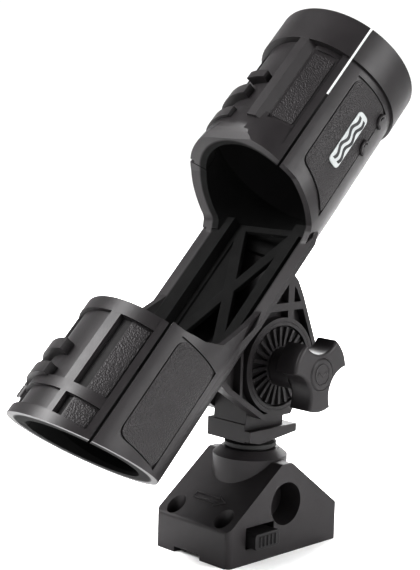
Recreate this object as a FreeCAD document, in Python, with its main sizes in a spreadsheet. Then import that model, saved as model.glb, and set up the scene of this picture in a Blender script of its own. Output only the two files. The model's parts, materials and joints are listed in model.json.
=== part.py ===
import FreeCAD, Part
import math
import os
import re
import Sketcher
from FreeCAD import Placement, Rotation, Vector

# Rod holder: a two-lid rod tube on a tilting bracket, a swivelling post and a wedge-shaped deck mount.
# Frame: origin under the post on the deck, +Z up, the tube lies in the XZ plane with its front towards +X,
# and the clamping knob is on the -Y side. Lengths are millimetres and angles are degrees.
# The tube's parts are drawn in the tube's own frame: X along its axis, Z away from the bracket.
# Round the tube, angles start at its top and grow towards the knob side.
DIMENSIONS = {
    # deck mount
    "base_length": 90, "base_depth": 57, "wall_height": 20, "ridge_height": 51,
    "ridge_flat": 8, "collar_radius": 21, "collar_height": 52, "collar_top": 56, "collar_tip_radius": 16,
    "bolt_x": 38.5, "bolt_y": 18.5, "bolt_radius": 2.8, "bolt_head_radius": 5.3, "bolt_head_floor": 14,
    "side_socket_radius": 12, "side_socket_height": 28.4, "side_socket_depth": 14.5,
    "bore_radius": 13, "bore_floor": 4,
    "slot_x": -20.5, "slot_width": 22, "slot_bottom": 8.5, "slot_height": 12, "slot_depth": 16,
    "button_width": 19.4, "button_height": 9, "button_bottom": 8.9, "button_proud": 6, "button_travel": 4,
    "notch_width": 20, "notch_height": 3,
    # post
    "shaft_gap": 0.06, "neck_radius": 11.8, "head_bottom": 61, "plate_top": 69, "plate_front": 20,
    "plate_back": 18, "plate_half": 16.5, "block_top": 72.4, "lug_half": 12.3, "lug_radius": 16,
    "seal_radius": 14.6,
    # tilt joint
    "pivot_height": 104.6, "cheek_inside": 12.8, "cheek_outside": 20.8, "disc_radius": 24.5,
    "disc_depth": 3, "disc_rim": 2, "dish_depth": 2.4, "rib_count": 24, "rib_width": 1.9,
    "web_sink": 5, "bolt_shank": 4, "hole_gap": 0.06,
    "knob_radius": 21, "knob_back": 35.5, "knob_face": 50.4, "knob_hub_radius": 11, "scallop_radius": 15,
    "scallop_distance": 26,
    # tube
    "tube_pitch": 45.7, "tube_offset": 66.3, "tube_radius": 41.2, "tube_wall": 4, "collar_proud": 1.6,
    "butt_proud": 0.4,
    "butt_end": -108.6, "butt_tilt": 11.8, "front_end": 168, "front_collar": 145,
    "seam_angle": 51.6, "hinge_angle": -60, "seam_gap": 1, "floor_depth": 22, "floor_thick": 3,
    "floor_start": -44, "floor_end": 60, "mouth_bore": 35, "mouth_shift": 2.4,
    "bell_radius": 42.6, "bell_shift": 1.5, "butt_bore": 31, "lid_wall": 5,
    "rail_level": -16, "rail_inside": 23, "rail_outside": 41.2, "rail_thick": 3, "skirt_thick": 3,
    "groove_offset": 31.5, "groove_width": 2.6, "groove_depth": 5,
    "rear_edge": -40.3, "front_edge": 69.5, "brace_centre": 14.5,
    "pin_radius": 1.3, "pin_distance": 43.2, "knuckle_radius": 2.8, "knuckle_length": 6.6,
    "panel_first": 64, "panel_last": 106, "panel_sink": 0.9,
    "facet_angle": 33, "facet_distance": 38.1, "lid_sink": 2.3, "rear_lid_sink": 2.9, "flange_sink": 0.6,
}

doc = FreeCAD.newDocument("rod_holder")
sizes = doc.addObject("Spreadsheet::Sheet", "Sizes")
nodes = []


def fill_sheet():
    for row, (alias, number) in enumerate(DIMENSIONS.items(), start=1):
        sizes.set(f"A{row}", alias)
        sizes.set(f"B{row}", str(number))
        sizes.setAlias(f"B{row}", alias)
    doc.recompute()


def size(alias):
    return float(sizes.get(alias))


def formula(text):
    """Point each alias in an expression at the sheet; every alias has an underscore."""
    return re.sub(r"\b([a-z]+_[a-z_]+)\b", r"Sizes.\1", str(text))


def bind(item, **expressions):
    for name, text in expressions.items():
        item.setExpression(name.replace("__", "."), formula(text))
    return item


def outline(body, name, role, corners):
    """A closed sketch of straight sides whose corners are held by two expressions each."""
    sketch = body.newObject("Sketcher::SketchObject", name)
    plane = [item for item in body.Origin.OriginFeatures if item.Role == role][0]
    sketch.AttachmentSupport = (plane, "")
    sketch.MapMode = "FlatFace"
    count = len(corners)
    start = [Vector(50 + 10 * math.cos(math.tau * i / count), 50 + 10 * math.sin(math.tau * i / count), 0)
             for i in range(count)]
    for i in range(count):
        sketch.addGeometry(Part.LineSegment(start[i], start[(i + 1) % count]))
    for i in range(count):
        sketch.addConstraint(Sketcher.Constraint("Coincident", i, 2, (i + 1) % count, 1))
    for i, corner in enumerate(corners):
        for kind, text, value in zip(("DistanceX", "DistanceY"), corner, start[i]):
            index = sketch.addConstraint(Sketcher.Constraint(kind, -1, 1, i, 1, value))
            sketch.setExpression(f"Constraints[{index}]", formula(text))
    return sketch


def prism(name, role, corners, start, length):
    """A padded outline: from start along the plane's normal (+Z, -Y or +X) over length."""
    body = doc.addObject("PartDesign::Body", name)
    sketch = outline(body, name + "_outline", role, corners)
    bind(sketch, AttachmentOffset__Base__z=start)
    pad = body.newObject("PartDesign::Pad", name + "_pad")
    pad.Profile = sketch
    bind(pad, Length=length)
    return body


def slab(name, corners, near, far):
    """An outline in X and Z, padded from y = near to y = far, near being the larger."""
    return prism(name, "XZ_Plane", corners, f"-({near})", f"({near}) - ({far})")


def turned(name, corners, axis="H_Axis", sweep="360", first=None):
    """An outline in X and Z turned about X (H_Axis) or Z (V_Axis), from angle first over sweep."""
    body = doc.addObject("PartDesign::Body", name)
    sketch = outline(body, name + "_outline", "XZ_Plane", corners)
    turn = body.newObject("PartDesign::Revolution", name + "_turn")
    turn.Profile = sketch
    turn.ReferenceAxis = (sketch, [axis])
    bind(turn, Angle=sweep)
    if first is not None:
        body.Placement = Placement(Vector(), Rotation(Vector(1, 0, 0), 1))
        bind(body, Placement__Rotation__Angle=first)
    return body


def wall(name, start, end, inner, outer, first="0", last="360"):
    """A stretch of pipe wall round the X axis, from angle first to angle last."""
    corners = [(start, inner), (end, inner), (end, outer), (start, outer)]
    return turned(name, corners, sweep=f"({last}) - ({first})", first=first)


def cylinder(name, radius, length, axis=(0, 0, 1), base=("0", "0", "0")):
    item = doc.addObject("Part::Cylinder", name)
    bind(item, Radius=radius, Height=length)
    item.Placement = Placement(Vector(), Rotation(Vector(0, 0, 1), Vector(*axis)))
    bind(item, Placement__Base__x=base[0], Placement__Base__y=base[1], Placement__Base__z=base[2])
    return item


def box(name, low, high):
    item = doc.addObject("Part::Box", name)
    sides = [f"({b}) - ({a})" for a, b in zip(low, high)]
    bind(item, Length=sides[0], Width=sides[1], Height=sides[2])
    bind(item, Placement__Base__x=low[0], Placement__Base__y=low[1], Placement__Base__z=low[2])
    return item


def fuse(name, *parts):
    item = doc.addObject("Part::MultiFuse", name)
    item.Shapes = list(parts)
    item.Refine = True
    return item


def cut(name, base, *tools):
    item = doc.addObject("Part::Cut", name)
    item.Base = base
    item.Tool = tools[0] if len(tools) == 1 else fuse(name + "_tools", *tools)
    item.Refine = True
    return item


def common(name, base, tool):
    item = doc.addObject("Part::Common", name)
    item.Base = base
    item.Tool = tool
    item.Refine = True
    return item


def rounded(name, base, radius, wanted):
    """Round the edges of base for which wanted(edge) is true."""
    doc.recompute()
    item = doc.addObject("Part::Fillet", name)
    item.Base = base
    item.Edges = [(i + 1, radius, radius) for i, edge in enumerate(base.Shape.Edges) if wanted(edge)]
    return item


def group(name, items):
    """Separate identical solids kept together as one sub-part."""
    item = doc.addObject("Part::Compound", name)
    item.Links = items
    return item


def node(item, label, placement=None):
    """Record a finished sub-part; one that already has a place of its own is wrapped before it is moved."""
    if placement is not None:
        if not item.Placement.isIdentity():
            item = group(label, [item])
        item.Placement = placement
    item.Label = label
    nodes.append(item)
    return item


def is_upright(edge):
    box_of = edge.BoundBox
    return box_of.XLength < 0.01 and box_of.YLength < 0.01


def along_y(edge):
    box_of = edge.BoundBox
    return box_of.XLength < 0.01 and box_of.ZLength < 0.01 and box_of.YLength > 1


def tube_frame():
    """The tube's frame: its axis passes tube_offset from the tilt pivot, raised by tube_pitch."""
    pitch = math.radians(size("tube_pitch"))
    up = Vector(-math.sin(pitch), 0, math.cos(pitch))
    return Placement(Vector(0, 0, size("pivot_height")) + up * size("tube_offset"),
                     Rotation(Vector(0, 1, 0), -size("tube_pitch")))


# ---------------------------------------------------------------- deck mount
def mount_base():
    half = "base_length / 2"
    block = slab("base_block", [(f"-{half}", "0"), (half, "0"), (half, "wall_height"),
                                ("ridge_flat / 2", "ridge_height"), ("-ridge_flat / 2", "ridge_height"),
                                (f"-{half}", "wall_height")], "base_depth / 2", "-base_depth / 2")
    soft = rounded("base_rounded", block, 3.5, lambda edge: is_upright(edge) or (
        along_y(edge) and edge.BoundBox.ZMin > 1))
    collar = turned("base_collar", [("0", "bore_floor + 1"), ("collar_radius", "bore_floor + 1"),
                                    ("collar_radius", "collar_height"), ("collar_tip_radius", "collar_top"),
                                    ("0", "collar_top")], axis="V_Axis")
    body = fuse("base_body", soft, collar)
    tools = [
        cylinder("post_bore", "bore_radius", "60", base=("0", "0", "bore_floor")),
        cylinder("side_socket", "side_socket_radius", "side_socket_depth + 1", axis=(0, 1, 0),
                 base=("0", "-base_depth / 2 - 1", "side_socket_height")),
        box("button_slot", ("slot_x - slot_width / 2", "-base_depth / 2 - 1", "slot_bottom"),
            ("slot_x + slot_width / 2", "-base_depth / 2 + slot_depth", "slot_bottom + slot_height")),
        box("bottom_notch", ("-base_length / 2 - 1", "-notch_width / 2 + 3", "-1"),
            ("-base_length / 2 + 8", "notch_width / 2 + 3", "notch_height")),
    ]
    for i, (side, end) in enumerate(((-1, -1), (-1, 1), (1, -1), (1, 1))):
        place = (f"{side} * bolt_x", f"{end} * bolt_y")
        tools.append(cylinder(f"bolt_hole_{i}", "bolt_radius", "60", base=(*place, "-1")))
        tools.append(cylinder(f"bolt_head_{i}", "bolt_head_radius", "60", base=(*place, "bolt_head_floor")))
    node(cut("mount_base", body, *tools), "mount_base")


def lock_button():
    low = ("slot_x - button_width / 2", "-base_depth / 2 - button_proud", "button_bottom")
    high = ("slot_x + button_width / 2", "-base_depth / 2 + slot_depth - button_travel - 1",
            "button_bottom + button_height")
    block = rounded("button_round", box("button_block", low, high), 2, lambda edge: (
        edge.BoundBox.XLength < 0.01 and edge.BoundBox.ZLength < 0.01))
    ribs = []
    for i in range(5):
        shift = f"slot_x - 6 + {3 * i}"
        ribs.append(box(f"button_rib_{i}", (f"{shift} - 0.6", "-base_depth / 2 - button_proud - 0.8",
                                            "button_bottom + 1.6"),
                        (f"{shift} + 0.6", "-base_depth / 2 - button_proud + 1",
                         "button_bottom + button_height - 1.6")))
    node(fuse("lock_button", block, *ribs), "lock_button")


# ---------------------------------------------------------------- post
def swivel_post():
    shaft = turned("post_shaft", [("0", "bore_floor + 0.4"),
                                  ("bore_radius - shaft_gap - 1", "bore_floor + 0.4"),
                                  ("bore_radius - shaft_gap", "bore_floor + 1.4"),
                                  ("bore_radius - shaft_gap", "collar_top + 0.4"),
                                  ("neck_radius", "collar_top + 1"), ("neck_radius", "head_bottom + 1"),
                                  ("0", "head_bottom + 1")], axis="V_Axis")
    groove = turned("post_groove", [("bore_radius - 2.4", "bore_floor + 5"),
                                    ("bore_radius + 1", "bore_floor + 5"),
                                    ("bore_radius + 1", "bore_floor + 7"),
                                    ("bore_radius - 2.4", "bore_floor + 7")],
                    axis="V_Axis")
    plate = slab("head_plate", [("-plate_back", "head_bottom + 2"), ("-plate_back + 8", "head_bottom"),
                                ("plate_front", "plate_top - 4.5"), ("plate_front", "plate_top"),
                                ("-plate_back", "plate_top")], "plate_half", "-plate_half")
    block = slab("head_block", [("-plate_back", "head_bottom + 1"), ("4", "head_bottom + 1"),
                                ("4", "block_top"),
                                ("-plate_back", "block_top")], "plate_half", "-lug_half")
    lug = slab("head_lug", [("-plate_back", "head_bottom + 2"), ("lug_radius - 4", "head_bottom + 2"),
                            ("lug_radius", "pivot_height"), ("-lug_radius", "pivot_height")],
               "lug_half", "-lug_half")
    eye = cylinder("head_eye", "lug_radius", "2 * lug_half", axis=(0, 1, 0),
                   base=("0", "-lug_half", "pivot_height"))
    hole = cylinder("head_hole", "bolt_shank + hole_gap", "4 * lug_half", axis=(0, 1, 0),
                    base=("0", "-2 * lug_half", "pivot_height"))
    body = fuse("post_body", shaft, plate, block, lug, eye)
    node(cut("swivel_post", body, groove, hole), "swivel_post")
    ring = turned("ring_turn", [("bore_radius - 2.3", "bore_floor + 5.1"),
                                ("bore_radius - 0.2", "bore_floor + 5.1"),
                                ("bore_radius - 0.2", "bore_floor + 6.9"),
                                ("bore_radius - 2.3", "bore_floor + 6.9")],
                  axis="V_Axis")
    gap = box("ring_gap", ("0", "-3", "0"), ("20", "3", "30"))
    node(cut("retaining_ring", ring, gap), "retaining_ring")
    seal = turned("seal_turn", [("neck_radius", "collar_top + 1"), ("seal_radius", "collar_top + 1"),
                                ("seal_radius", "collar_top + 3.2"), ("neck_radius", "collar_top + 3.6")],
                  axis="V_Axis")
    node(seal, "neck_seal")


# ---------------------------------------------------------------- tilt bracket, in the tube's frame
CHEEK = ((42, 33), (42, 23.5), (39, 14), (27, -14.3), (6, -22.5), (-13.3, -26.4), (-29.8, -9.8),
         (-36.1, 23.5), (-36.1, 33))
# Bars of a cheek, upright or level at the rest pitch: low and high corner from the pivot.
CHEEK_BARS = (("level", (-30, 30.4), (40, 34.8)), ("upright", (4.6, 20), (9.6, 60)),
              ("corner", (-31.8, -40), (-29.8, 12)), ("short", (-8.4, -40), (-6.4, -20)))


def cheek_corners(inset=0):
    """The cheek's outline, with each corner drawn in towards the pivot by a share of its distance."""
    keep = f"(1 - {inset})"
    return [(f"{x} * {keep}", f"-tube_offset + {z} * {keep}") for x, z in CHEEK]


def pivot_turned(item):
    """Turn an item drawn from the pivot, upright at the rest pitch, into the tube's frame."""
    whole = group(item.Name + "_turned", [item])
    whole.Placement = Placement(Vector(0, 0, -size("tube_offset")),
                                Rotation(Vector(0, 1, 0), size("tube_pitch")))
    return whole


def cheek(side):
    """One cheek: a web with a raised border and bars, and a pocket for its ratchet disc."""
    name = "right" if side < 0 else "left"
    inner, outer = ("-cheek_inside", "-cheek_outside") if side < 0 else ("cheek_outside", "cheek_inside")
    full = slab(f"cheek_{name}", cheek_corners(), inner, outer)
    sunk = ("-cheek_outside + web_sink", "-cheek_outside - 1") if side < 0 else (
        "cheek_outside + 1", "cheek_outside - web_sink")
    pocket = slab(f"cheek_pocket_{name}", cheek_corners(0.1), *sunk)
    low, high = ("-cheek_outside", "-cheek_inside") if side < 0 else ("cheek_inside", "cheek_outside")
    bars = [pivot_turned(box(f"bar_{kind}_{name}", (f"{first[0]}", low, f"{first[1]}"),
                             (f"{last[0]}", high, f"{last[1]}"))) for kind, first, last in CHEEK_BARS]
    ring = cylinder(f"cheek_ring_{name}", "disc_radius + 2.4", f"({high}) - ({low})", axis=(0, 1, 0),
                    base=("0", low, "-tube_offset"))
    bars_inside = common(f"bars_in_{name}", fuse(f"bars_{name}", *bars, ring),
                         slab(f"cheek_limit_{name}", cheek_corners(), inner, outer))
    seat_start = "-cheek_outside - 1" if side < 0 else "cheek_outside - disc_depth"
    seat = cylinder(f"disc_seat_{name}", "disc_radius + hole_gap", "disc_depth + 1", axis=(0, 1, 0),
                    base=("0", seat_start, "-tube_offset"))
    return cut(f"cheek_done_{name}", fuse(f"cheek_ribbed_{name}", cut(f"cheek_web_{name}", full, pocket),
                                         bars_inside), seat)


def cradle_bracket():
    bridge = box("bridge", ("-30", "-cheek_inside - 0.5", "-tube_radius - 3"),
                 ("36", "cheek_inside + 0.5", "-tube_radius + 8"))
    body = fuse("bracket_body", cheek(-1), cheek(1), bridge)
    under = cylinder("tube_under", "tube_radius", "120", axis=(1, 0, 0), base=("-60", "0", "0"))
    hole = cylinder("bracket_hole", "bolt_shank + hole_gap", "60", axis=(0, 1, 0),
                    base=("0", "-30", "-tube_offset"))
    node(cut("cradle_bracket", body, under, hole), "cradle_bracket", tube_frame())


def ratchet_disc(side):
    """A dished disc let into the cheek, with ribs that run from its hub nearly to its rim."""
    name = "right" if side < 0 else "left"
    low = "-cheek_outside" if side < 0 else "cheek_outside - disc_depth"
    plate = cylinder(f"disc_{name}", "disc_radius", "disc_depth", axis=(0, 1, 0),
                     base=("0", low, "-tube_offset"))
    dish_low = "-cheek_outside - 1" if side < 0 else "cheek_outside - dish_depth"
    dish = cylinder(f"dish_{name}", "disc_radius - disc_rim", "dish_depth + 1", axis=(0, 1, 0),
                    base=("0", dish_low, "-tube_offset"))
    hub = cylinder(f"hub_{name}", "knob_hub_radius", "disc_depth", axis=(0, 1, 0),
                   base=("0", low, "-tube_offset"))
    ribs = []
    for i in range(int(size("rib_count"))):
        rib = doc.addObject("Part::Box", f"rib_{name}_{i}")
        bind(rib, Length="disc_radius - disc_rim - 0.8", Width="disc_depth - 0.3", Height="rib_width")
        turn = Rotation(Vector(0, 1, 0), 360 * i / size("rib_count"))
        start = -size("cheek_outside") + 0.3 if side < 0 else size("cheek_outside") - size("disc_depth")
        corner = Vector(0, start, 0) + turn.multVec(Vector(0, 0, -size("rib_width") / 2))
        rib.Placement = Placement(corner + Vector(0, 0, -size("tube_offset")), turn)
        ribs.append(rib)
    body = fuse(f"disc_body_{name}", cut(f"disc_dished_{name}", plate, dish), hub, *ribs)
    hole = cylinder(f"disc_hole_{name}", "bolt_shank + hole_gap", "60", axis=(0, 1, 0),
                    base=("0", "-30", "-tube_offset"))
    node(cut(f"ratchet_disc_{name}", body, hole), f"ratchet_disc_{name}", tube_frame())


def pivot_hardware():
    shank = cylinder("bolt_shank_rod", "bolt_shank", "43.6 + cheek_outside + 2", axis=(0, 1, 0),
                     base=("0", "-43.6", "pivot_height"))
    head = doc.addObject("Part::Prism", "bolt_hex")
    head.Polygon = 6
    bind(head, Circumradius="7.5", Height="5")
    head.Placement = Placement(Vector(0, 0, 0), Rotation(Vector(0, 0, 1), Vector(0, 1, 0)))
    bind(head, Placement__Base__y="cheek_outside + 1.5", Placement__Base__z="pivot_height")
    node(fuse("pivot_bolt", shank, head), "pivot_bolt")
    for name, low in (("left", "cheek_outside"), ("right", "-cheek_outside - 1.4")):
        disc = cylinder(f"washer_disc_{name}", "9", "1.4", axis=(0, 1, 0), base=("0", low, "pivot_height"))
        hole = cylinder(f"washer_hole_{name}", "bolt_shank + hole_gap", "3", axis=(0, 1, 0),
                        base=("0", f"{low} - 0.5", "pivot_height"))
        node(cut(f"pivot_washer_{name}", disc, hole), f"pivot_washer_{name}")


def clamp_knob():
    blank = cylinder("knob_blank", "knob_radius", "knob_face - knob_back", axis=(0, -1, 0),
                     base=("0", "-knob_back", "pivot_height"))
    scallops = []
    for i in range(3):
        angle = math.radians(90 + 120 * i)
        scallops.append(cylinder(f"scallop_{i}", "scallop_radius", "30", axis=(0, -1, 0),
                                 base=(f"scallop_distance * {math.cos(angle)}", "-knob_back + 5",
                                       f"pivot_height + scallop_distance * {math.sin(angle)}")))
    lobes = rounded("knob_lobes", cut("knob_cut", blank, *scallops), 1.8, lambda edge: (
        edge.BoundBox.YLength < 0.01))
    hub = cylinder("knob_hub", "knob_hub_radius", "knob_back - cheek_outside - 1.6", axis=(0, -1, 0),
                   base=("0", "-cheek_outside - 1.7", "pivot_height"))
    bore = cylinder("knob_bore", "7", "40", axis=(0, -1, 0), base=("0", "-cheek_outside", "pivot_height"))
    top = cylinder("knob_seat", "9", "3", axis=(0, -1, 0), base=("0", "-knob_face + 1.6", "pivot_height"))
    floor = cylinder("knob_floor", "8", "4.6", axis=(0, -1, 0),
                     base=("0", "-knob_face + 6.2", "pivot_height"))
    knob = cut("knob_body", fuse("knob_solid", cut("knob_open", fuse("knob_whole", lobes, hub), bore),
                                 floor), top)
    node(knob, "knob_body")
    nut = cylinder("insert_rod", "7", "16", axis=(0, -1, 0),
                   base=("0", "-cheek_outside - 2.2", "pivot_height"))
    hole = cylinder("insert_hole", "bolt_shank + hole_gap", "40", axis=(0, -1, 0),
                    base=("0", "-cheek_outside", "pivot_height"))
    node(cut("knob_insert", nut, hole), "knob_insert")
    cap = turned("cap_turn", [("0", "0"), ("9", "0"), ("9", "1.4"), ("8", "2.2"), ("0", "2.6")],
                 axis="V_Axis")
    cap.Placement = Placement(Vector(0, -size("knob_face") + 1.6, size("pivot_height")),
                              Rotation(Vector(0, 0, 1), Vector(0, -1, 0)))
    node(cap, "knob_cap")


# ---------------------------------------------------------------- tube
PANELS = (("rear", ("-103.5", "-44")), ("front", ("60", "front_collar - 5")))
SIDES = (("right", -1), ("left", 1))
SHELL_KNUCKLES = (75, 92.2, 109.4, -101, -86.2, -71.4)
LID_KNUCKLES = (83.6, 100.8, -93.6, -78.8)
BORE = "tube_radius - tube_wall"
LID_BORE = "tube_radius - lid_wall"
PINS = {"front": ("74.4", "42.2"), "rear": ("-101.6", "37.4")}
SHELL_FROM = "seam_angle + seam_gap"
SHELL_TO = "360 + hinge_angle - seam_gap"
LID_FROM = "hinge_angle"
LID_TO = "seam_angle - seam_gap"


def reel_opening(name, grow="0"):
    """The opening between the two lids, drawn from the side and cut right across the tube."""
    rear = [("rear_edge - 0.2", "60"), ("rear_edge - 0.2", "19"), ("-37.6", "7"),
            (f"-31 - {grow}", f"-4 - {grow} / 2"),
            (f"-13 - {grow}", f"-11.5 - {grow}"), (f"0 - {grow}", f"rail_level - {grow}")]
    front = [(48, "rail_level"), (55.5, "-12.5"), (60.5, "0"), (66, "15"), (68, "28"), (70.5, "38.5"),
             (80, "42"),
             (80, "60")]
    corners = rear + [(f"{x} + {grow}", f"{z} - {grow}" if x < 50 else z) for x, z in front]
    block = slab(name + "_block", corners, "60", "-60")
    return rounded(name, block, 6, lambda edge: along_y(edge) and edge.BoundBox.ZMin < 25)


def butt_cutter(name):
    """A block that trims the tube's rear end to a plane leaning back by butt_tilt."""
    item = doc.addObject("Part::Box", name)
    bind(item, Length="60", Width="120", Height="160")
    lean = Rotation(Vector(0, 1, 0), -size("butt_tilt"))
    item.Placement = Placement(Vector(size("butt_end"), 0, 0) + lean.multVec(Vector(-60, -60, -80)), lean)
    return item


def panel_wall(name, span, side, inner, outer, margin="0"):
    first, last = ("panel_first", "panel_last") if side < 0 else ("-panel_last", "hinge_angle - 12")
    start, end = span
    return wall(name, f"{start} - {margin}", f"{end} + {margin}", inner, outer,
                f"{first} - {margin}", f"{last} + {margin}")


def cone(name, first_radius, last_radius, length, base):
    item = doc.addObject("Part::Cone", name)
    bind(item, Radius1=first_radius, Radius2=last_radius, Height=length)
    item.Placement = Placement(Vector(), Rotation(Vector(0, 0, 1), Vector(1, 0, 0)))
    bind(item, Placement__Base__x=base[0], Placement__Base__y=base[1], Placement__Base__z=base[2])
    return item


def mouth(name, first, last):
    """The front cup's mouth: a lip that is thickest on the hinge side, and thins out inside the cup."""
    ring = wall(name + "_ring", "50", "90", "28", "tube_radius - 2.4", first, last)
    bore = cylinder(name + "_bore", "mouth_bore", "26", axis=(1, 0, 0), base=("49", "-mouth_shift", "0"))
    taper = cone(name + "_taper", "mouth_bore", "tube_radius", "16", ("75", "-mouth_shift", "0"))
    return cut(name, ring, bore, taper)


def bell(name, first, last):
    """The flare outside the mouth, widest on the hinge side."""
    flare = cone(name + "_flare", "bell_radius", "bell_radius - 2", "20", ("72", "bell_shift", "0"))
    start = cylinder(name + "_start", "bell_radius", "22", axis=(1, 0, 0), base=("50", "bell_shift", "0"))
    return common(name, fuse(name + "_solid", flare, start),
                  wall(name + "_sector", "50", "92", "38.2", "60", first, last))


def butt_lip(name, first, last):
    """The thick ring round the butt end, tapering to the bore inside."""
    corners = [("butt_end - 16", "butt_bore"), ("-100", "butt_bore"), ("-91", f"{BORE} + 0.4"),
               ("-91", "tube_radius - 2.6"), ("butt_end - 16", "tube_radius - 2.6")]
    return turned(name, corners, sweep=f"({last}) - ({first})", first=first)


def rail(side):
    """A wide flat flange along the trough with a skirt on its inner side down to the floor."""
    name = "right" if side < 0 else "left"
    profile = [("rail_inside", "-floor_depth - floor_thick"), ("rail_inside", "rail_level"),
               ("rail_outside", "rail_level"), ("rail_outside", "rail_level - rail_thick"), ("34.6", "-22"),
               ("34.6", "rail_level - rail_thick"), ("rail_inside + skirt_thick",
                                                     "rail_level - rail_thick"),
               ("rail_inside + skirt_thick", "-floor_depth - floor_thick")]
    bar = prism(f"rail_bar_{name}", "YZ_Plane", [(f"{side} * ({y})", z) for y, z in profile],
                "floor_start", "floor_end - floor_start")
    limit = [("floor_start", "rail_inside - 1"), ("floor_end", "rail_inside - 1"), ("floor_end", "36"),
             ("50", "rail_outside"), ("-8", "rail_outside"), ("-26", "36"), ("floor_start", "34")]
    plan = prism(f"rail_plan_{name}", "XY_Plane", [(x, f"{side} * ({y})") for x, y in limit], "-30", "20")
    return common(f"rail_{name}", bar, plan)


def cradle_shell():
    """The lower part of the tube: rear cup, trough with its rails, and front cup in one moulding."""
    pipe = wall("shell_pipe", "butt_end - 16", "front_end", BORE, "tube_radius", SHELL_FROM, SHELL_TO)
    bands = [wall("shell_front_band", "front_collar", "front_end", BORE, "tube_radius + collar_proud",
                  SHELL_FROM, SHELL_TO),
             wall("shell_rear_band", "butt_end - 16", "butt_end + 5", BORE, "tube_radius + butt_proud",
                  SHELL_FROM, SHELL_TO)]
    body = fuse("shell_whole", pipe, *bands, mouth("shell_mouth", SHELL_FROM, SHELL_TO),
                bell("shell_bell", "244", SHELL_TO), butt_lip("shell_butt_lip", SHELL_FROM, SHELL_TO),
                rail(-1), rail(1))
    tools = [reel_opening("shell_opening"), butt_cutter("shell_butt"), *pin_channels("shell"),
             box("floor_room", ("floor_start", "-rail_inside", "-floor_depth - floor_thick"),
                 ("floor_end", "rail_inside", "rail_level")),
             box("rail_groove", ("-10", "-groove_offset - groove_width / 2", "rail_level - groove_depth"),
                 ("52", "-groove_offset + groove_width / 2", "rail_level + 1"))]
    for place, span in PANELS:
        for name, side in SIDES:
            recess = panel_wall(f"recess_{place}_{name}", span, side, "tube_radius - panel_sink", "60",
                                "0.4")
            tools.append(recess if place == "rear" else
                         cut(f"recess_{place}_{name}_trim", recess,
                             reel_opening(f"recess_edge_{name}", "7.6")))
    tools += [knuckle_room(f"shell_room_{i}", start) for i, start in enumerate(LID_KNUCKLES)]
    knuckles = [knuckle(f"shell_knuckle_{i}", start, "hinge_angle - 9", "hinge_angle - 1.5")
                for i, start in enumerate(SHELL_KNUCKLES)]
    node(fuse("cradle_shell", cut("shell_cut", body, *tools), *knuckles), "cradle_shell", tube_frame())


def pin_centre():
    angle = math.radians(size("hinge_angle"))
    return -size("pin_distance") * math.sin(angle), size("pin_distance") * math.cos(angle)


def knuckle(name, start, first, last):
    """A hinge knuckle round the pin with the strap that ties it to the tube's wall."""
    y, z = pin_centre()
    eye = cylinder(name + "_eye", "knuckle_radius", "knuckle_length", axis=(1, 0, 0),
                   base=(f"{start}", f"{y}", f"{z}"))
    strap = wall(name + "_strap", f"{start}", f"{start} + knuckle_length", "tube_radius - 3.4",
                 "tube_radius + 2.6",
                 first, last)
    hole = cylinder(name + "_hole", "pin_radius + hole_gap", "10", axis=(1, 0, 0),
                    base=(f"{start} - 1", f"{y}", f"{z}"))
    return cut(name, fuse(name + "_body", eye, strap), hole)


def pin_channels(name):
    """Room for both hinge pins where they pass the tube's wall."""
    y, z = pin_centre()
    return [cylinder(f"{name}_channel_{place}", "pin_radius + 0.5", length, axis=(1, 0, 0),
                     base=(start, f"{y}", f"{z}")) for place, (start, length) in PINS.items()]


def knuckle_room(name, start):
    """The room that one knuckle needs in the other half of its hinge."""
    y, z = pin_centre()
    return cylinder(name, "knuckle_radius + 0.5", "knuckle_length + 0.8", axis=(1, 0, 0),
                    base=(f"{start} - 0.4", f"{y}", f"{z}"))


def side_panels():
    for place, span in PANELS:
        for name, side in SIDES:
            skin = panel_wall(f"panel_{place}_{name}", span, side, "tube_radius - panel_sink",
                              "tube_radius + 0.1")
            item = skin
            if place == "front":
                item = cut(f"panel_{place}_{name}_cut", skin, reel_opening(f"panel_edge_{name}", "8"))
            node(item, f"{place}_panel_{name}", tube_frame())


def trough_floor():
    """The floor plate, opened in front, behind and on the right of its crossed braces."""
    plate = box("floor_plate", ("floor_start", "-rail_inside", "-floor_depth - floor_thick"),
                ("floor_end", "rail_inside", "-floor_depth"))
    below, above = "-floor_depth - floor_thick - 1", "floor_thick + 2"
    gaps = [prism("floor_gap_right", "XY_Plane", [("brace_centre", "-4"), ("48", "-20"), ("-19.5", "-20")],
                  below, above),
            prism("floor_gap_front", "XY_Plane", [("brace_centre + 8", "0"), ("56", "-16"), ("56", "16")],
                  below, above),
            prism("floor_gap_rear", "XY_Plane", [("brace_centre - 8", "0"), ("-32", "18"), ("-32", "-18")],
                  below, above),
            prism("floor_recess_left", "XY_Plane", [("brace_centre", "4"), ("48", "20"), ("-19.5", "20")],
                  "-floor_depth - 1.4", "3")]
    node(cut("trough_floor", plate, *gaps), "trough_floor", tube_frame())


def lid_wall(place, start, end, sink):
    """A lid's skin with a raised lip at the seam and another along its hinge."""
    return [wall(f"{place}_skin", start, end, LID_BORE, f"tube_radius - {sink}", LID_FROM, LID_TO),
            wall(f"{place}_lip", start, end, LID_BORE, "tube_radius", "seam_angle - 6.5", LID_TO),
            wall(f"{place}_rail", start, end, LID_BORE, "tube_radius", LID_FROM, "hinge_angle + 8")]


def rib(name, start, end, steps):
    """A raised rib along a lid; its corners are pairs of angle and radius."""
    corners = [(f"{-r * math.sin(math.radians(a)):.3f}", f"{r * math.cos(math.radians(a)):.3f}") for a,
               r in steps]
    return prism(name, "YZ_Plane", corners, start, f"({end}) - ({start})")


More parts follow.
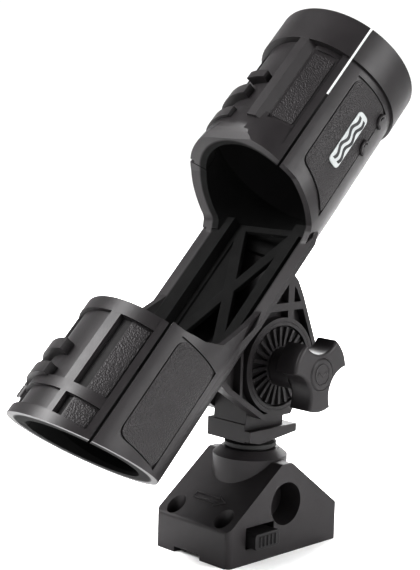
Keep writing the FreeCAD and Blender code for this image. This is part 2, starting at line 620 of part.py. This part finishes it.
def front_lid():
    start = "front_edge - 3"
    parts = lid_wall("front", start, "front_end", "lid_sink")
    parts += [wall("front_band", "front_collar", "front_end", BORE, "tube_radius + collar_proud", LID_FROM,
                   LID_TO),
              mouth("front_mouth", LID_FROM, LID_TO), bell("front_bell", "hinge_angle + 2.5", LID_TO),
              rib("front_rib", "86", "front_collar + 0.5",
                  ((5, 37.6), (7.5, 42.6), (15, 42.6), (21, 39), (21, 37.4)))]
    facet = doc.addObject("Part::Box", "front_facet")
    bind(facet, Length="front_collar - 3 - 89", Width="15", Height="10")
    turn = Rotation(Vector(1, 0, 0), size("facet_angle"))
    facet.Placement = Placement(turn.multVec(Vector(89, -7.5, size("facet_distance"))), turn)
    rooms = [knuckle_room(f"front_room_{i}", at) for i, at in enumerate(SHELL_KNUCKLES[:3])]
    trimmed = cut("front_trim", fuse("front_full", *parts), facet, reel_opening("front_lid_opening"),
                  *rooms,
                  *pin_channels("front_lid"))
    clip = wall("front_clip", "112.5", "117.5", "tube_radius - 3.4", "tube_radius + 2.8", "-17", "1")
    straps = [knuckle(f"front_knuckle_{i}", at, LID_FROM, "hinge_angle + 52")
              for i, at in enumerate(LID_KNUCKLES[:2])]
    node(fuse("front_lid", trimmed, clip, *straps), "front_lid", tube_frame())


def rear_lid():
    end = "rear_edge - 2"
    parts = lid_wall("rear", "butt_end - 16", end, "rear_lid_sink")
    parts += [wall("rear_band", "-50", end, LID_BORE, "tube_radius - flange_sink", LID_FROM, LID_TO),
              wall("rear_flange", "-98.4", "-92.6", "tube_radius - 3.4", "tube_radius - flange_sink",
                   "hinge_angle + 10", LID_TO),
              wall("rear_rim", "butt_end - 16", "-111", LID_BORE, "tube_radius + butt_proud", LID_FROM,
                   LID_TO),
              butt_lip("rear_butt_lip", LID_FROM, LID_TO),
              rib("rear_rib", "-93", "-49", ((6, 37.2), (9, 40.6), (17.5, 40.6), (18.5, 37))),
              rib("rear_rib_short", "-112", "-98", ((10, 37.2), (12, 40.6), (17, 40.6), (18, 37)))]
    grooves = [wall("rear_groove", "-92.4", "-50.2", "37.3", "40", "18.5", "27"),
               wall("rear_groove_short", "-110.8", "-98.6", "37.3", "40", "18", "23")]
    rooms = [knuckle_room(f"rear_room_{i}", at) for i, at in enumerate(SHELL_KNUCKLES[3:])]
    trimmed = cut("rear_trim", fuse("rear_full", *parts), butt_cutter("rear_butt"), *grooves, *rooms,
                  *pin_channels("rear_lid"))
    straps = [knuckle(f"rear_knuckle_{i}", at, LID_FROM, "hinge_angle + 52")
              for i, at in enumerate(LID_KNUCKLES[2:])]
    node(fuse("rear_lid", trimmed, *straps), "rear_lid", tube_frame())


def hinge_pins():
    y, z = pin_centre()
    for place, (start, length) in PINS.items():
        pin = cylinder(f"{place}_pin", "pin_radius", length, axis=(1, 0, 0), base=(start, f"{y}", f"{z}"))
        node(pin, f"{place}_hinge_pin", tube_frame())


def badge_plate():
    pad = wall("badge_pad", "88", "125.4", "tube_radius + 0.1", "tube_radius + 1.1", "80", "92")
    node(pad, "badge_plate", tube_frame())


def check_document():
    doc.recompute()
    for item in doc.Objects:
        if "Invalid" in item.State or "Error" in item.State:
            raise RuntimeError(f"{item.Name} failed: {item.State}")
    for item in nodes:
        if item.Shape.isNull() or not item.Shape.isValid() or not item.Shape.Solids:
            raise RuntimeError(f"{item.Label} has no valid solid")
        print(f"{item.Label}: {len(item.Shape.Solids)} solid(s), {item.Shape.Volume / 1000:.2f} cm3")


def write_parts():
    os.makedirs("parts", exist_ok=True)
    for item in nodes:
        item.Shape.exportStep(f"parts/{item.Label}.step")


fill_sheet()
mount_base()
lock_button()
swivel_post()
cradle_bracket()
for _, which in SIDES:
    ratchet_disc(which)
pivot_hardware()
clamp_knob()
cradle_shell()
side_panels()
trough_floor()
front_lid()
rear_lid()
hinge_pins()
badge_plate()
check_document()
write_parts()
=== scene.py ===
import json
import math

import bmesh
import bpy
from mathutils import Matrix, Vector


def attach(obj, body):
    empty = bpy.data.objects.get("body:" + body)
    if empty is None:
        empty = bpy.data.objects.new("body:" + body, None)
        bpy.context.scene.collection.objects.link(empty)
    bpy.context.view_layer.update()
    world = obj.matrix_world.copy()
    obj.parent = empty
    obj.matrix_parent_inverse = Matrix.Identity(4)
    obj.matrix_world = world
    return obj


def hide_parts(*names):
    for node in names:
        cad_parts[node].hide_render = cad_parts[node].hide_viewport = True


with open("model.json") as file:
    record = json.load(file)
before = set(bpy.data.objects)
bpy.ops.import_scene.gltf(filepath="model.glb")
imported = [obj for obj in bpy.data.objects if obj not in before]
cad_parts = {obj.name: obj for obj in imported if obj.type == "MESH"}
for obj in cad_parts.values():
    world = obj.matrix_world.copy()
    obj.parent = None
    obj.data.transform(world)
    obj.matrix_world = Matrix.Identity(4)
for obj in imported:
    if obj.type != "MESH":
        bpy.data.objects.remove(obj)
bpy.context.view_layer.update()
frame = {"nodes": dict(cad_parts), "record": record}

# A rod holder in charcoal nylon. Lengths in the tables are millimetres, and angles are degrees.
# The tube's frame: s runs along its axis, and angles go round it from the top towards the knob side.
MM = 0.001
PITCH = math.radians(45.7)
ALONG = Vector((math.cos(PITCH), 0, math.sin(PITCH)))
ACROSS = Vector((-math.sin(PITCH), 0, math.cos(PITCH)))
PIVOT = Vector((0, 0, 104.6))
TUBE = PIVOT + ACROSS * 66.3
RADIUS = 41.2
SHARP_ANGLE = 32
STRIP_WIDTH = 1.5
ARC_STEPS = 5
BODY_OF = {node: body for body, nodes in frame["record"]["behaviour"]["bodies"].items() for node in nodes}
SLOT_OF = {row["node"]: row["material_slot"] for row in frame["record"]["subparts"]}

# The width of each moulded part's rounded edges: parts with plain flat faces, then parts with pierced ones.
PLAIN_EDGES = {
    "mount_base": 0.9, "swivel_post": 0.8, "knob_body": 0.7, "knob_cap": 0.3, "lock_button": 0.4,
    "cradle_bracket": 0.45, "ratchet_disc_right": 0.25, "ratchet_disc_left": 0.25, "cradle_shell": 0.5,
}
PIERCED_EDGES = {"trough_floor": 0.4, "front_lid": 0.4, "rear_lid": 0.4}

# Studio, in metres: the floor's profile as reach and height, and each light's place, power and size.
FLOOR_PROFILE = ((0.0, 0), (1.5, 0), (2.0, 0.03), (2.5, 0.15), (3.0, 0.4), (3.4, 0.9), (3.6, 1.6), (3.7, 3.2))
FLOOR_STEPS = 64
LIGHTS_AIM = (0, 0, 0.15)
LIGHTS = {
    "key": ((-1.1, 0.5, 1.3), 78, 0.9),
    "side": ((0.4, -1.4, 0.7), 32, 0.8),
    "rim": ((1.2, 0.6, 0.9), 34, 0.8),
}
WORLD_STRENGTH = 0.45
VIEW_GAMMA = 0.72

# Distances from the tube's axis, in metres, between which the painted shade on the inner wall gives way to
# the outer wall's own tone.
HOLLOW_FROM, HOLLOW_TO = 0.0366, 0.0380
# The near-black colour painted on the tube's inner walls as shade, where little light reaches.
HOLLOW_PAINTED_SHADE = (0.0006, 0.0006, 0.0006, 1)


def on_tube(s, angle, radius):
    """The point at s along the tube, an angle round it and a distance from its axis, in metres."""
    turn = math.radians(angle)
    aside = Vector((0, -radius * math.sin(turn), 0))
    return (TUBE + ALONG * s + ACROSS * (radius * math.cos(turn)) + aside) * MM


# ---------------------------------------------------------------- camera, floor and light
def camera():
    """The camera stands low on the knob's side and looks up the tube from its butt end."""
    turn, rise, roll = math.radians(44.82), math.radians(7.54), math.radians(1.71)
    distance, aside, above, lens = 0.8, -0.021, 0.1458, 88.69
    back = Vector((-math.cos(rise) * math.cos(turn), -math.cos(rise) * math.sin(turn), math.sin(rise)))
    flat_right = Vector((math.sin(turn), -math.cos(turn), 0))
    flat_up = back.cross(flat_right)
    right = flat_right * math.cos(roll) + flat_up * math.sin(roll)
    up = flat_up * math.cos(roll) - flat_right * math.sin(roll)
    data = bpy.data.cameras.new("camera")
    data.lens, data.sensor_width = lens, 36
    data.clip_start, data.clip_end = 0.01, 60
    eye = bpy.data.objects.new("camera", data)
    place = back * distance + right * aside + up * above
    eye.matrix_world = Matrix((right, up, back)).transposed().to_4x4()
    eye.location = place
    bpy.context.scene.collection.objects.link(eye)
    bpy.context.scene.camera = eye


def floor():
    """A pale round floor whose far part sweeps up, so that no horizon shows."""
    mesh = bpy.data.meshes.new("floor")
    shape = bmesh.new()
    rings = []
    for reach, height in FLOOR_PROFILE:
        turns = [math.tau * i / FLOOR_STEPS for i in range(FLOOR_STEPS if reach else 1)]
        rings.append([shape.verts.new((reach * math.cos(turn), reach * math.sin(turn), height))
                      for turn in turns])
    for i in range(FLOOR_STEPS):
        j = (i + 1) % FLOOR_STEPS
        shape.faces.new((rings[0][0], rings[1][i], rings[1][j]))
        for low, high in zip(rings[1:], rings[2:]):
            shape.faces.new((low[i], high[i], high[j], low[j]))
    shape.to_mesh(mesh)
    shape.free()
    for face in mesh.polygons:
        face.use_smooth = True
    item = bpy.data.objects.new("floor", mesh)
    bpy.context.scene.collection.objects.link(item)
    paint = bpy.data.materials.new("floor")
    paint.use_nodes = True
    shader = paint.node_tree.nodes["Principled BSDF"]
    shader.inputs["Base Color"].default_value = (0.95, 0.95, 0.95, 1)
    shader.inputs["Roughness"].default_value = 0.8
    shader.inputs["Specular IOR Level"].default_value = 0.1
    mesh.materials.append(paint)


def soft_light(name, place, power, width):
    data = bpy.data.lights.new(name, "AREA")
    data.energy, data.size = power, width
    lamp = bpy.data.objects.new(name, data)
    lamp.location = place
    lamp.rotation_euler = (Vector(LIGHTS_AIM) - Vector(place)).to_track_quat("-Z", "Y").to_euler()
    bpy.context.scene.collection.objects.link(lamp)


def studio():
    world = bpy.data.worlds.new("studio")
    world.use_nodes = True
    world.node_tree.nodes["Background"].inputs["Color"].default_value = (1, 1, 1, 1)
    world.node_tree.nodes["Background"].inputs["Strength"].default_value = WORLD_STRENGTH
    bpy.context.scene.world = world
    for name, (place, power, width) in LIGHTS.items():
        soft_light(name, place, power, width)
    view = bpy.context.scene.view_settings
    view.view_transform, view.gamma = "Standard", VIEW_GAMMA


# ---------------------------------------------------------------- materials
def paint_tree(name):
    """A new material with its shader, and a helper that adds and wires nodes."""
    paint = bpy.data.materials.new(name)
    paint.use_nodes = True
    tree = paint.node_tree
    shader = tree.nodes["Principled BSDF"]
    place = tree.nodes.new("ShaderNodeTexCoord").outputs["Object"]

    def add(kind, settings=None, **sockets):
        item = tree.nodes.new(kind)
        for key, value in (settings or {}).items():
            setattr(item, key, value)
        for key, value in sockets.items():
            socket = item.inputs[key.replace("_", " ")]
            if isinstance(value, bpy.types.NodeSocket):
                tree.links.new(value, socket)
            else:
                socket.default_value = value
        return item

    return paint, tree, shader, place, add


def ramp_between(add, source, low, high):
    """Spread a 0..1 texture value over a range."""
    return add("ShaderNodeMapRange", {}, Value=source, To_Min=low, To_Max=high).outputs["Result"]


def tinted(add, source, dark, light):
    """Turn a 0..1 texture value into a tone between two colours."""
    ramp = add("ShaderNodeValToRGB", {}, Fac=source)
    ramp.color_ramp.elements[0].color = (*dark, 1)
    ramp.color_ramp.elements[0].position = 0.3
    ramp.color_ramp.elements[1].color = (*light, 1)
    ramp.color_ramp.elements[1].position = 0.7
    return ramp.outputs["Color"]


def inside_shade(tree, add, place):
    """The mask of the painted shade: 0 on the tube's inner walls, which are painted dark as shade, and 1 on
    its outer ones.
    """
    offset = add("ShaderNodeVectorMath", {"operation": "SUBTRACT"})
    tree.links.new(place, offset.inputs[0])
    offset.inputs[1].default_value = TUBE * MM
    cross = add("ShaderNodeVectorMath", {"operation": "CROSS_PRODUCT"})
    tree.links.new(offset.outputs["Vector"], cross.inputs[0])
    cross.inputs[1].default_value = ALONG
    reach = add("ShaderNodeVectorMath", {"operation": "LENGTH"})
    tree.links.new(cross.outputs["Vector"], reach.inputs[0])
    return add("ShaderNodeMapRange", {}, Value=reach.outputs["Value"], From_Min=HOLLOW_FROM,
               From_Max=HOLLOW_TO).outputs["Result"]


def nylon(name, dark, light, rough, grain=2600, depth=0.00002, pebble=0.0, pebble_size=900, painted_hollow_shade=False,
          shine=0.36):
    """Moulded nylon: cloudy tone, worn patches in the gloss, fine grain, pebbles where asked, and, where
    asked, painted shade that darkens the tube's inner walls and dulls their gloss.
    """
    paint, tree, shader, place, add = paint_tree(name)
    cloud = add("ShaderNodeTexNoise", {}, Vector=place, Scale=38.0, Detail=5.0, Roughness=0.6)
    fine = add("ShaderNodeTexNoise", {}, Vector=place, Scale=float(grain), Detail=2.0)
    wear = add("ShaderNodeTexNoise", {}, Vector=place, Scale=95.0, Detail=6.0, Roughness=0.7)
    colour = tinted(add, cloud.outputs["Fac"], dark, light)
    gloss = ramp_between(add, wear.outputs["Fac"], rough - 0.09, rough + 0.09)
    # Painted shade: the tube's inner walls are mixed towards a near-black colour, and their gloss is dulled.
    if painted_hollow_shade:
        shade = inside_shade(tree, add, place)
        mixed = add("ShaderNodeMix", {"data_type": "RGBA"})
        tree.links.new(shade, mixed.inputs[0])
        mixed.inputs[6].default_value = HOLLOW_PAINTED_SHADE
        tree.links.new(colour, mixed.inputs[7])
        colour = mixed.outputs[2]
        dull = add("ShaderNodeMapRange", {}, Value=shade, To_Min=0.5, To_Max=0.0).outputs["Result"]
        total = add("ShaderNodeMath", {"operation": "ADD", "use_clamp": True})
        tree.links.new(gloss, total.inputs[0])
        tree.links.new(dull, total.inputs[1])
        gloss = total.outputs["Value"]
    tree.links.new(colour, shader.inputs["Base Color"])
    tree.links.new(gloss, shader.inputs["Roughness"])
    bump = add("ShaderNodeBump", {}, Height=fine.outputs["Fac"], Strength=0.35, Distance=depth)
    if pebble:
        cells = add("ShaderNodeTexVoronoi", {"feature": "SMOOTH_F1"}, Vector=place, Scale=float(pebble_size),
                    Randomness=1.0, Smoothness=0.7)
        bump = add("ShaderNodeBump", {"invert": True}, Height=cells.outputs["Distance"], Strength=0.9,
                   Distance=pebble, Normal=bump.outputs["Normal"])
    tree.links.new(bump.outputs["Normal"], shader.inputs["Normal"])
    shader.inputs["IOR"].default_value = 1.5
    shader.inputs["Specular IOR Level"].default_value = shine
    return paint


def metal(name, dark, light, rough, stretch):
    """Turned or drawn metal: streaks along one way, and a little tarnish."""
    paint, tree, shader, place, add = paint_tree(name)
    mapped = add("ShaderNodeMapping", {}, Vector=place, Scale=stretch)
    streak = add("ShaderNodeTexNoise", {}, Vector=mapped.outputs["Vector"], Scale=600.0, Detail=3.0)
    stain = add("ShaderNodeTexNoise", {}, Vector=place, Scale=210.0, Detail=5.0)
    tree.links.new(tinted(add, stain.outputs["Fac"], dark, light), shader.inputs["Base Color"])
    gloss = ramp_between(add, streak.outputs["Fac"], rough - 0.08, rough + 0.12)
    tree.links.new(gloss, shader.inputs["Roughness"])
    bump = add("ShaderNodeBump", {}, Height=streak.outputs["Fac"], Strength=0.3, Distance=0.00002)
    tree.links.new(bump.outputs["Normal"], shader.inputs["Normal"])
    shader.inputs["Metallic"].default_value = 1.0
    return paint


def make_paints():
    """One material for each slot of the record, and the ink on the badge."""
    tone = ((0.0125, 0.0110, 0.0118), (0.0185, 0.0165, 0.0175))
    deep = ((0.008, 0.0073, 0.008), (0.013, 0.012, 0.013))
    return {
        # The cradle's and the lids' nylon are painted near black on the tube's inner walls as shade.
        "body_nylon": nylon("body_nylon", *tone, 0.44, painted_hollow_shade=True),
        "lid_nylon": nylon("lid_nylon", *tone, 0.42, painted_hollow_shade=True),
        "base_nylon": nylon("base_nylon", (0.016, 0.014, 0.015), (0.024, 0.0215, 0.0228), 0.46, grain=3200,
                            depth=0.00003),
        "post_nylon": nylon("post_nylon", *tone, 0.46),
        "button_nylon": nylon("button_nylon", *deep, 0.42),
        "disc_nylon": nylon("disc_nylon", *tone, 0.45),
        "knob_nylon": nylon("knob_nylon", *tone, 0.44),
        "panel_nylon": nylon("panel_nylon", *tone, 0.5, pebble=0.0004, pebble_size=1200),
        "seal_rubber": nylon("seal_rubber", (0.018, 0.018, 0.018), (0.026, 0.026, 0.026), 0.62),
        "badge": nylon("badge", (0.24, 0.25, 0.25), (0.31, 0.32, 0.32), 0.42, grain=1800, shine=0.3),
        "badge_ink": nylon("badge_ink", (0.02, 0.02, 0.022), (0.03, 0.03, 0.032), 0.4),
        "steel": metal("steel", (0.50, 0.50, 0.51), (0.62, 0.62, 0.63), 0.3, (1, 1, 9)),
        "insert_brass": metal("insert_brass", (0.55, 0.40, 0.17), (0.68, 0.52, 0.24), 0.32, (1, 9, 1)),
    }


# ---------------------------------------------------------------- softened copies of the moulded parts
def piece_from(name, mesh, body, paint):
    """A piece made of a mesh, riding on a body and painted."""
    item = bpy.data.objects.new(name, mesh)
    bpy.context.scene.collection.objects.link(item)
    mesh.materials.clear()
    mesh.materials.append(paint)
    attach(item, body)
    return item


def softened(node, width, merge, seal):
    """A copy of a moulded sub-part with the rounded edges that moulding leaves.

    Points nearer than seal, in metres, are joined. merge joins flat faces, which pierced ones can't take.
    """
    mesh = frame["nodes"][node].data.copy()
    shape = bmesh.new()
    shape.from_mesh(mesh)
    bmesh.ops.remove_doubles(shape, verts=shape.verts, dist=seal)
    bmesh.ops.dissolve_degenerate(shape, dist=seal, edges=shape.edges)
    if merge:
        bmesh.ops.dissolve_limit(shape, angle_limit=math.radians(0.6), verts=shape.verts, edges=shape.edges)
    for face in shape.faces:
        face.smooth = True
    for edge in shape.edges:
        edge.smooth = edge.calc_face_angle(0) < math.radians(SHARP_ANGLE)
    shape.to_mesh(mesh)
    shape.free()
    item = piece_from(node + "_moulded", mesh, BODY_OF[node], PAINTS[SLOT_OF[node]])
    bevel = item.modifiers.new("edges", "BEVEL")
    bevel.width, bevel.segments, bevel.limit_method = width * MM, 2, "ANGLE"
    bevel.angle_limit, bevel.use_clamp_overlap, bevel.harden_normals = math.radians(SHARP_ANGLE), True, True
    normals = item.modifiers.new("normals", "WEIGHTED_NORMAL")
    normals.keep_sharp, normals.weight, normals.mode = True, 100, "FACE_AREA_WITH_ANGLE"
    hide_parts(node)


# ---------------------------------------------------------------- textured panels, badge and arrow
def round_corners(corners, radius):
    """The outline with every corner turned into a short arc."""
    points = []
    count = len(corners)
    for i, corner in enumerate(corners):
        here = Vector(corner)
        back, ahead = Vector(corners[i - 1]) - here, Vector(corners[(i + 1) % count]) - here
        reach = min(radius, back.length / 2.1, ahead.length / 2.1)
        start, end = here + back.normalized() * reach, here + ahead.normalized() * reach
        for j in range(ARC_STEPS + 1):
            t = j / ARC_STEPS
            points.append(start * (1 - t) ** 2 + here * (2 * t * (1 - t)) + end * t ** 2)
    return points


def sheet_mesh(name, points, low, high, bend):
    """A filled outline cut into strips, thickened from low to high, and bent by bend(x, y, height)."""
    shape = bmesh.new()
    face = shape.faces.new([shape.verts.new((p.x, p.y, 0)) for p in points])
    if face.normal.z < 0:
        face.normal_flip()
    first, last = min(p.y for p in points), max(p.y for p in points)
    for i in range(1, int((last - first) / STRIP_WIDTH) + 1):
        bmesh.ops.bisect_plane(shape, geom=list(shape.verts) + list(shape.edges) + list(shape.faces),
                               plane_co=(0, first + i * STRIP_WIDTH, 0), plane_no=(0, 1, 0), dist=1e-4)
    bottom = list(shape.faces)
    top = bmesh.ops.extrude_face_region(shape, geom=bottom)
    for item in top["geom"]:
        if isinstance(item, bmesh.types.BMVert):
            item.co.z = 1
    for vert in shape.verts:
        vert.co = bend(vert.co.x, vert.co.y, high if vert.co.z > 0.5 else low)
    bmesh.ops.recalc_face_normals(shape, faces=shape.faces)
    for face in shape.faces:
        face.smooth = True
    mesh = bpy.data.meshes.new(name)
    shape.to_mesh(mesh)
    shape.free()
    return mesh


def round_bend(x, y, height):
    """The tube's round wall: x along it and y round it."""
    return on_tube(x, math.degrees(y / RADIUS), height)


def facet_bend(x, y, height):
    """The flat facet beside the front lid's rib: x along the tube and y over the facet."""
    turn = math.radians(33)
    out = ACROSS * math.cos(turn) + Vector((0, -math.sin(turn), 0))
    over = -ACROSS * math.sin(turn) + Vector((0, -math.cos(turn), 0))
    return (TUBE + ALONG * x + out * height + over * y) * MM


def patch(name, corners, low, high, body, paint, radius=3.0, bend=round_bend, edge=0.25):
    """A thin raised skin; its corners are s and angle, or s and width on the flat facet."""
    flat = [(x, math.radians(y) * RADIUS) if bend is round_bend else (x, y) for x, y in corners]
    mesh = sheet_mesh(name, round_corners(flat, radius), low, high, bend)
    item = piece_from(name, mesh, body, PAINTS[paint])
    bevel = item.modifiers.new("edges", "BEVEL")
    bevel.width, bevel.segments, bevel.limit_method = edge * MM, 2, "ANGLE"
    bevel.angle_limit, bevel.harden_normals = math.radians(40), True
    return item


def panel_skins():
    """The pebbled skins: one on each side panel, and three on the lids."""
    first, last = 64.4, 105.6
    left_first, left_span = -72.4, 33.2
    front = [(139.8, first), (139.8, last), (65.6, last), (68.6, 97.7), (72, 87.7), (74.8, 76.6),
             (77.6, first)]
    rear = [(-44.2, first), (-44.2, last), (-103.3, last), (-103.3, first)]
    for side in ("right", "left"):
        for place, corners in (("front", front), ("rear", rear)):
            node = f"{place}_panel_{side}"
            if side == "left":
                corners = [(s, left_first - (angle - first) * left_span / (last - first))
                           for s, angle in corners]
            skin = patch(node + "_skin", corners, 40.35, 41.25, "cradle", "panel_nylon",
                         radius=6)
            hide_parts(node)
    lid_skins = (
        ("front_lid_skin", (91.5, 139.5), (-6.3, 6.3), 38.0, 38.45, facet_bend),
        ("rear_lid_skin", (-91.8, -51), (27.6, 44), 38.2, 38.7, round_bend),
        ("rear_lid_skin_short", (-110.2, -99.2), (23.8, 44), 38.2, 38.7, round_bend),
    )
    for name, (start, end), (low_side, high_side), low, high, bend in lid_skins:
        corners = [(start, low_side), (start, high_side), (end, high_side), (end, low_side)]
        body = name.split("_skin")[0]
        patch(name, corners, low, high, body, "panel_nylon", radius=1.5, bend=bend)


def wave(first, last, middle, height, half, turns):
    """A wavy ribbon's outline as s and angle."""
    steps = 28
    path = [(first + (last - first) * i / steps, middle + height * math.sin(math.tau * turns * i / steps))
            for i in range(steps + 1)]
    return [(s, a - half) for s, a in path] + [(s, a + half) for s, a in reversed(path)]


def badge():
    """The badge's plate with two waves of ink."""
    corners = [(88.2, 80.2), (88.2, 91.8), (125.2, 91.8), (125.2, 80.2)]
    plate = patch("badge_face", corners, 41.2, 42.1, "cradle", "badge", radius=3.2)
    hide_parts("badge_plate")
    for i, middle in enumerate((83.4, 88.6)):
        patch(f"badge_wave_{i}", wave(91.5, 122, middle, 1.3, 1.25, 2.5), 42.05, 42.2, "cradle",
              "badge_ink", radius=0.2, edge=0.02)


def ribbon(path, half):
    """The outline of a line of even width that follows an open path."""
    left, right = [], []
    for i, point in enumerate(path):
        here = Vector(point)
        back = (here - Vector(path[i - 1])).normalized() if i else None
        ahead = (Vector(path[i + 1]) - here).normalized() if i + 1 < len(path) else None
        way = ((back or ahead) + (ahead or back)).normalized()
        side = Vector((-way.y, way.x))
        reach = half / max(0.45, side.dot(Vector((-(ahead or back).y, (ahead or back).x))))
        left.append(here + side * reach)
        right.append(here - side * reach)
    return [tuple(point) for point in left + right[::-1]]


def line(name, path, half, low, high, bend, body, paint):
    """A raised line; on the tube its points are s and width round the wall, elsewhere two flat lengths."""
    points = [Vector(point) for point in ribbon(path, half)]
    piece_from(name, sheet_mesh(name, points, low, high, bend), body, PAINTS[paint])


def slope_bend(x, y, height):
    """The mount's slope below the tube's butt: x towards the knob side, y up the slope."""
    up = Vector((41, 0, 31)).normalized()
    out = Vector((-31, 0, 41)).normalized()
    return (Vector((-45, 0, 20)) + up * y + out * height + Vector((0, -x, 0))) * MM


def cap_bend(x, y, height):
    """The knob's cap: x and y from its centre, height towards the knob side."""
    return (PIVOT + Vector((x, -height, y))) * MM


def raised_marks():
    """The arrow on the mount's slope, and the ring and wave on the knob's cap."""
    arrow = [(-11, 15.9), (6, 15.9), (6, 14.4), (11.6, 17.6), (6, 20.8), (6, 19.3), (-11, 19.3), (-11, 16.1)]
    line("slope_arrow", arrow, 0.42, -0.3, 0.6, slope_bend, "mount", "base_nylon")
    ring = [(5.6 * math.cos(math.tau * i / 40), 5.6 * math.sin(math.tau * i / 40)) for i in range(40)]
    line("cap_ring", ring, 0.35, 50.6, 51.35, cap_bend, "knob", "knob_nylon")
    sea = [(-3.8 + 7.6 * i / 20, 1.1 * math.sin(math.tau * 1.5 * i / 20)) for i in range(21)]
    line("cap_wave", sea, 0.35, 50.6, 51.35, cap_bend, "knob", "knob_nylon")


def cord_hooks():
    """Two small open hooks moulded under the front cup on the knob side."""
    for i, s in enumerate((114.5, 134.5)):
        y = math.radians(105) * RADIUS
        bow = [(s - 3.4, y + 3.2), (s - 3.4, y - 1.2), (s - 1.6, y - 2.8), (s + 1.6, y - 2.8),
               (s + 3.2, y - 1.0), (s + 3.2, y + 1.0)]
        line(f"cord_hook_{i}", bow, 0.7, 40.6, 42.7, round_bend, "cradle", "body_nylon")


camera()
floor()
studio()
PAINTS = make_paints()
for name, item in frame["nodes"].items():
    item.data.materials.clear()
    item.data.materials.append(PAINTS[SLOT_OF[name]])
for name, width in PLAIN_EDGES.items():
    softened(name, width, merge=True, seal=2e-6)
for name, width in PIERCED_EDGES.items():
    softened(name, width, merge=False, seal=3e-5)
panel_skins()
badge()
raised_marks()
cord_hooks()
